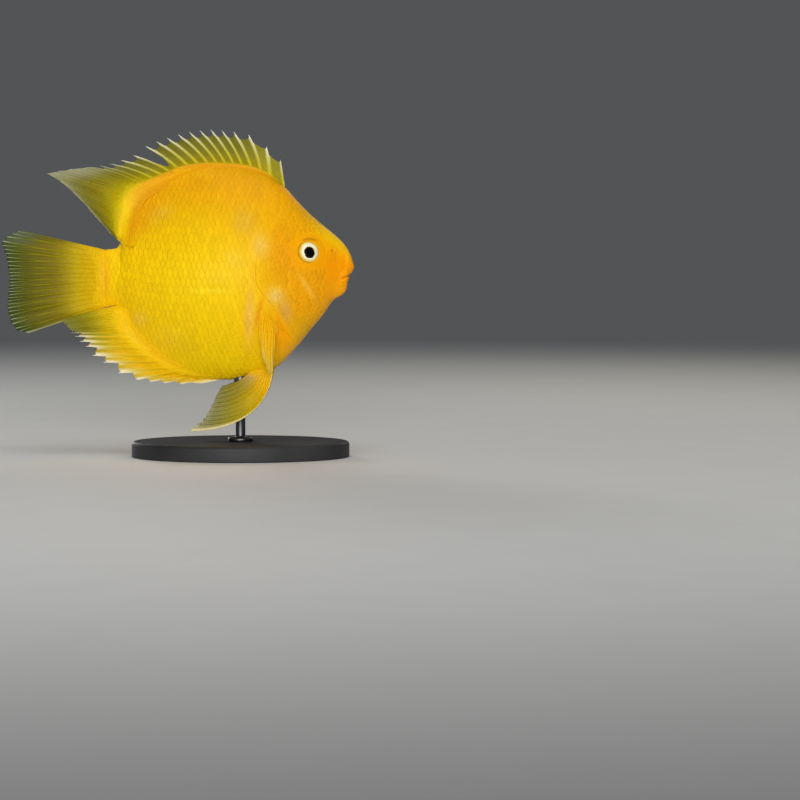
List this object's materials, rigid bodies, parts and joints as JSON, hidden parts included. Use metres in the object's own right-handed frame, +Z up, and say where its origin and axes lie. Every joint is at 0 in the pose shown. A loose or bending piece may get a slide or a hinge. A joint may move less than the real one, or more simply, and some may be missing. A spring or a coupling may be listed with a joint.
{
  "type": "blood parrot cichlid display model",
  "caption": "Still life-size model of a deep-bodied yellow-orange aquarium fish with spread fins, held over a flat oval base by a short rod.",
  "frame": {"origin": "centre of the flat underside of the stand's base, straight below the rod", "axes": "+X towards the fish's snout, +Y towards its left side, +Z up"},
  "size_m": [0.1811, 0.076, 0.1677],
  "materials": {
    "skin": "glossy scaled skin, orange on the head and back, yellow on the flank",
    "fins": "thin satin membrane, yellow at the root, olive outwards, pale ray tips",
    "eyes": "wet gloss, pale iris ring and black pupil",
    "stand_base": "satin, near black",
    "stand_rod": "blackened, brushed"
  },
  "bodies": {
    "root": {"head": "skin", "torso": "skin", "tail_stalk": "skin", "eye_right": "eyes", "eye_left": "eyes", "dorsal_fin": "fins", "anal_fin": "fins", "caudal_fin": "fins", "pectoral_fin_right": "fins", "pectoral_fin_left": "fins", "pelvic_fin_right": "fins", "pelvic_fin_left": "fins", "stand_base": "stand_base", "stand_rod": "stand_rod"}
  },
  "joints": []
}
